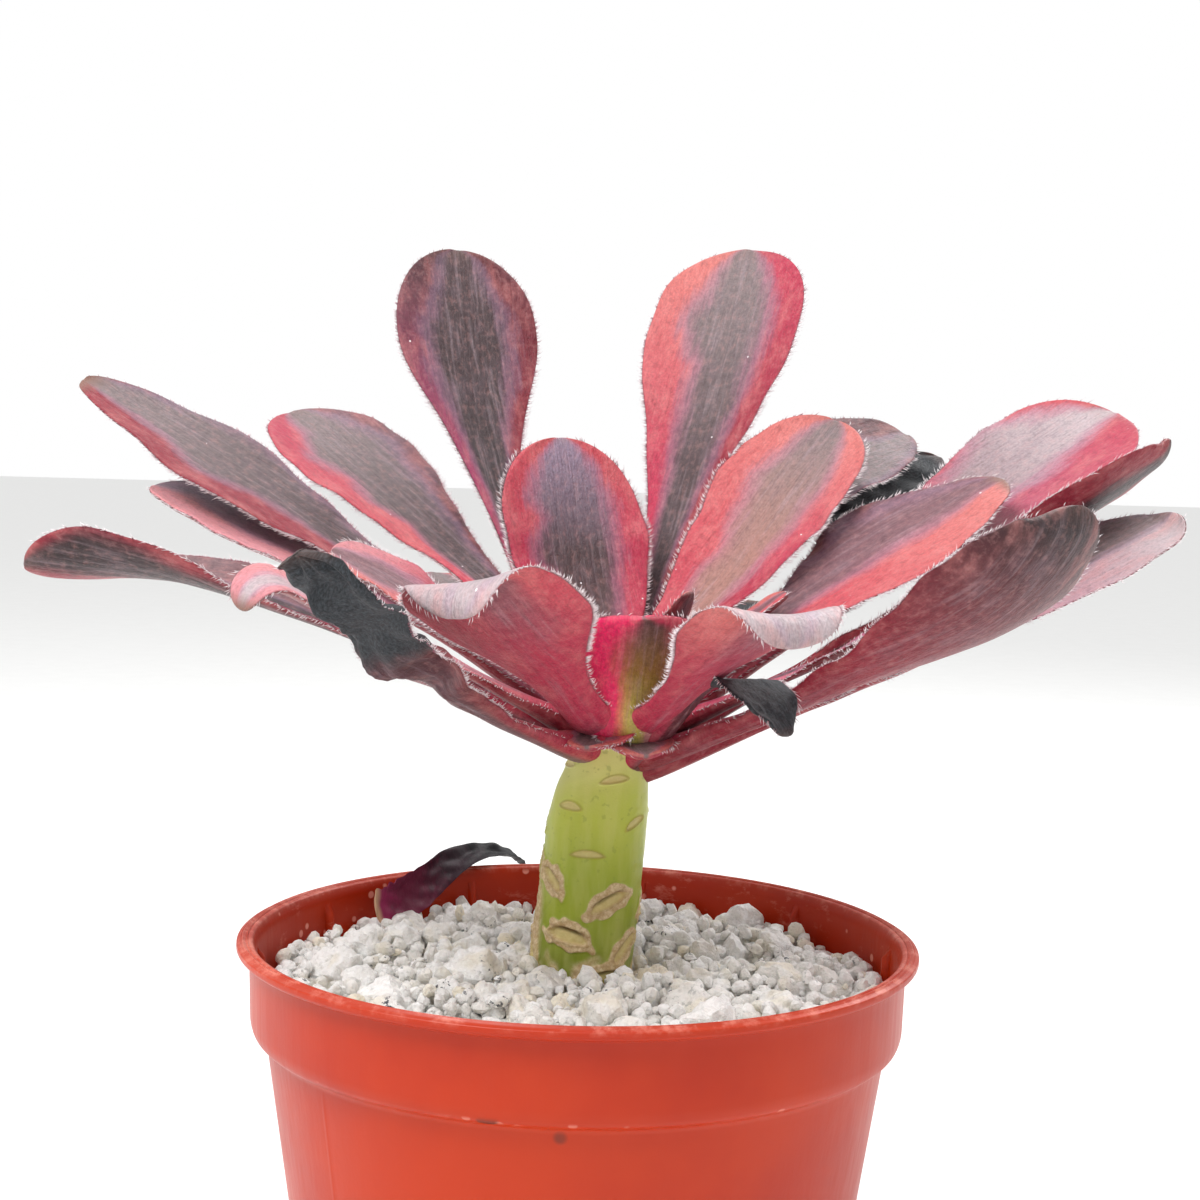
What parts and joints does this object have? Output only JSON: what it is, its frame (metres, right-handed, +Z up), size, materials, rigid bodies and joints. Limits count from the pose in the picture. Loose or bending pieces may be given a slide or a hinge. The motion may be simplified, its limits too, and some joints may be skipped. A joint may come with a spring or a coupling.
{
  "type": "potted aeonium",
  "caption": "Rosette succulent with spoon-shaped, hair-edged pink and maroon leaves on a short green stem, set in white gravel in a round tapered plastic pot with a collar.",
  "frame": {"origin": "centre of the pot's flat base, on the surface it stands on", "axes": "+Z up, the plant's front faces -Y, +X to the right seen from the front"},
  "size_m": [0.1736, 0.1261, 0.2029],
  "materials": {
    "pot_plastic": "satin terracotta-orange moulded plastic, lightly scuffed",
    "potting_mix": "rough dark bark-based compost",
    "gravel": "rough white and grey crushed granite with dark flecks",
    "stem": "smooth fleshy green stem with corky leaf scars",
    "leaf": "satin fleshy leaf, grey-maroon centre with pink margins",
    "heart_leaf": "satin fleshy young leaf, hot pink margins",
    "withered_leaf": "dry crumpled purple-black leaf"
  },
  "bodies": {
    "root": {"fallen_leaf": "withered_leaf", "gravel_layer": "gravel", "leaf_back_centre": "leaf", "leaf_back_left_tall": "leaf", "leaf_back_right_broad": "leaf", "leaf_back_right_tall": "leaf", "leaf_behind_right": "leaf", "leaf_behind_right_withered": "withered_leaf", "leaf_front_left": "leaf", "leaf_front_right": "leaf", "leaf_front_withered": "withered_leaf", "leaf_heart_front": "heart_leaf", "leaf_heart_left": "heart_leaf", "leaf_heart_point": "heart_leaf", "leaf_heart_right": "heart_leaf", "leaf_left_blackened": "withered_leaf", "leaf_left_far": "leaf", "leaf_left_hooked": "leaf", "leaf_left_long": "leaf", "leaf_left_small": "leaf", "leaf_left_under": "leaf", "leaf_left_upper": "leaf", "leaf_low_back": "leaf", "leaf_low_back_left": "leaf", "leaf_low_back_right": "leaf", "leaf_low_left": "leaf", "leaf_right_crimson": "leaf", "leaf_right_cupped": "leaf", "leaf_right_long": "leaf", "leaf_right_low": "leaf", "leaf_right_pointed": "leaf", "leaf_right_short": "leaf", "leaf_stub_left": "leaf", "leaf_stub_right": "leaf", "pot": "pot_plastic", "potting_mix": "potting_mix", "stem": "stem"}
  },
  "joints": []
}
